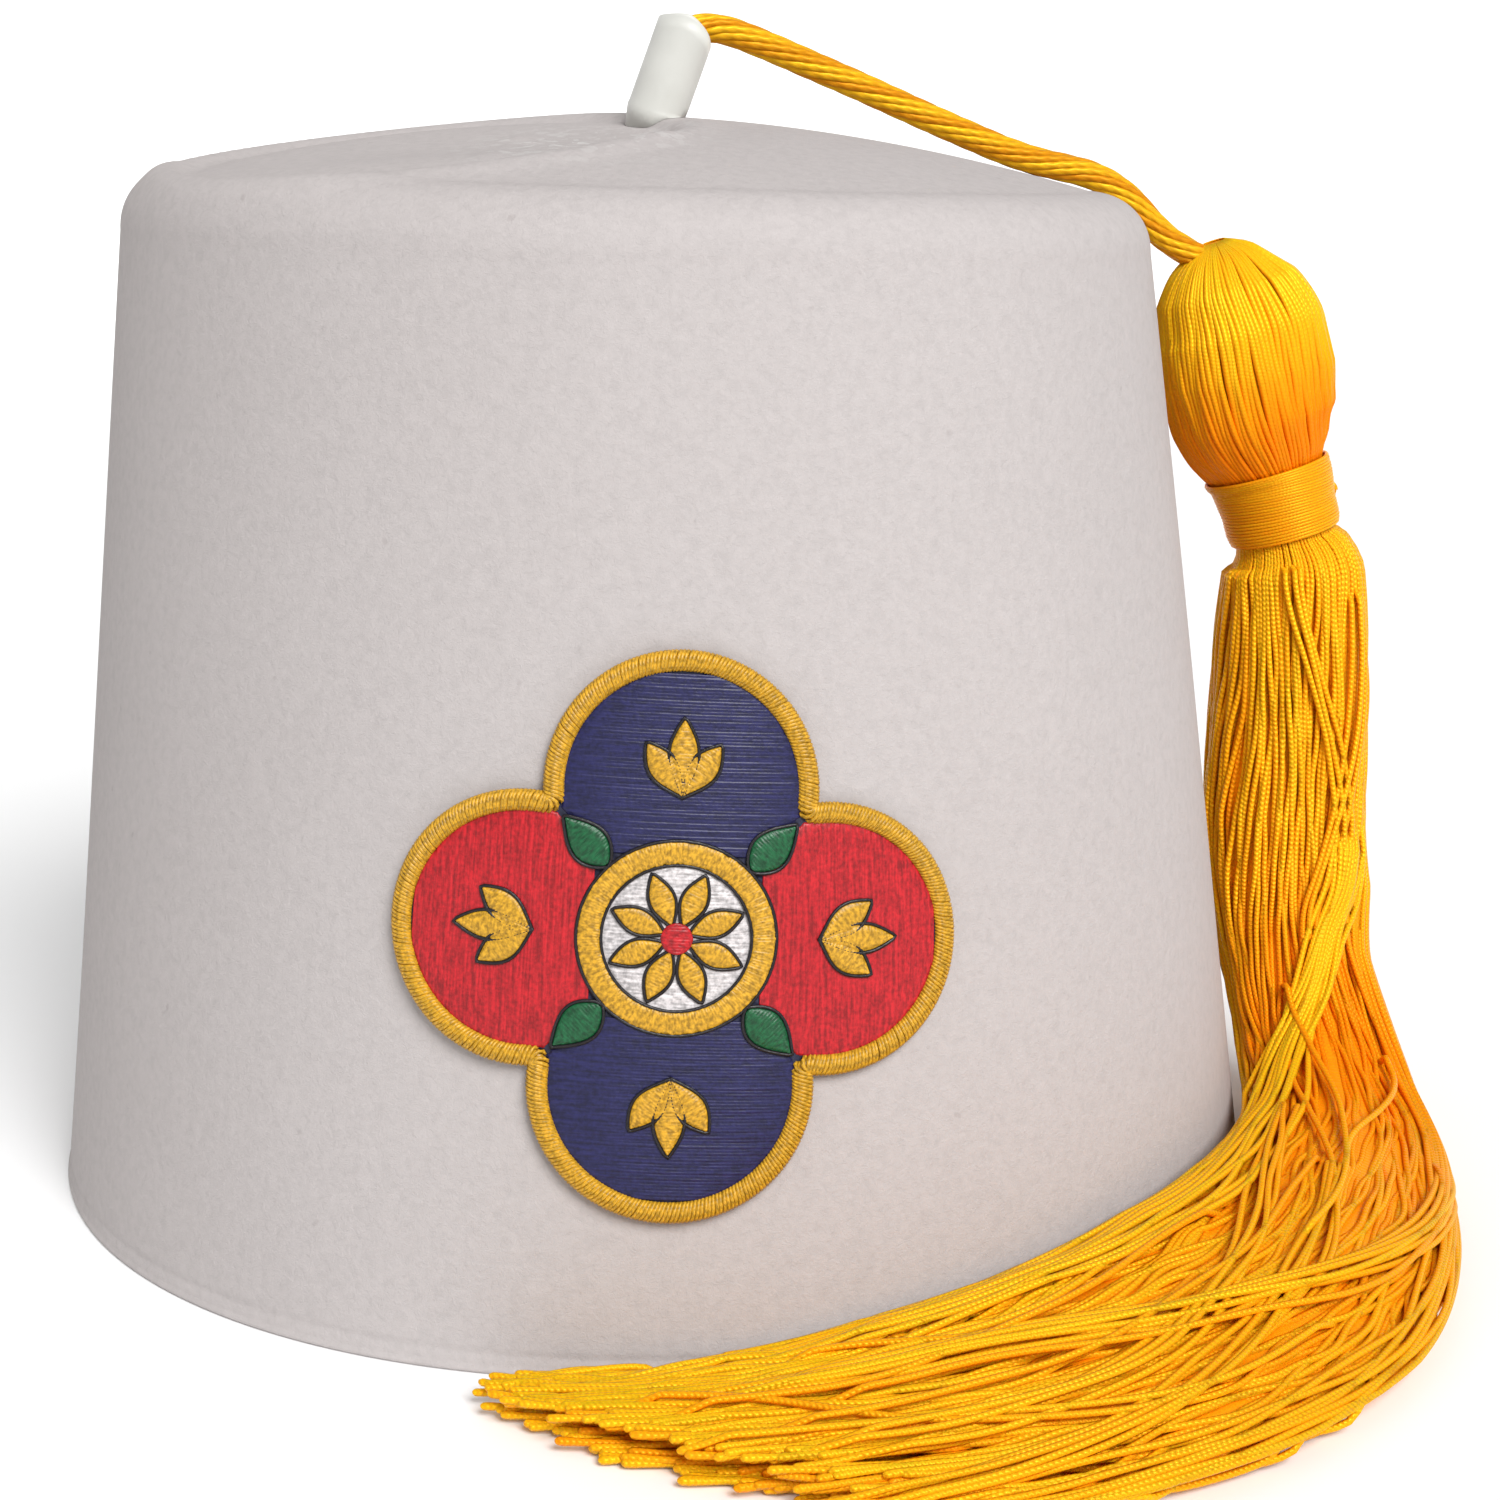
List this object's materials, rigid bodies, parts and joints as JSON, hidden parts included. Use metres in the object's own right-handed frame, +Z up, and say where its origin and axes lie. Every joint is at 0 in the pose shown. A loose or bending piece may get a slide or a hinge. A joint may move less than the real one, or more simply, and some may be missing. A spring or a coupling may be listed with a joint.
{
  "type": "fez hat",
  "caption": "Blocked felt fez standing on its rim, with a leaning stem, a twisted cord, a long tassel laid round the base and a lobed embroidered patch.",
  "frame": {"origin": "centre of the box round everything but the cord, on the surface that the rim stands on", "axes": "+Z up out of the crown's top, -Y out of the patch, +X towards the tassel"},
  "size_m": [0.2104, 0.2266, 0.1745],
  "materials": {
    "felt": "soft white wool felt, matt",
    "stem": "smooth white tube",
    "cord": "twisted gold rayon cord",
    "tassel_thread": "bright gold rayon thread with a soft sheen",
    "wrap_thread": "gold thread bound round the neck",
    "patch_cloth": "satin-stitched embroidery in blue, red, green, white and gold",
    "patch_edging": "gold overlocked edge"
  },
  "bodies": {
    "root": {"crown": "felt", "stem": "stem", "cord": "cord", "tassel": "tassel_thread", "tassel_wrap": "wrap_thread", "patch": "patch_cloth", "patch_border": "patch_edging"}
  },
  "joints": []
}
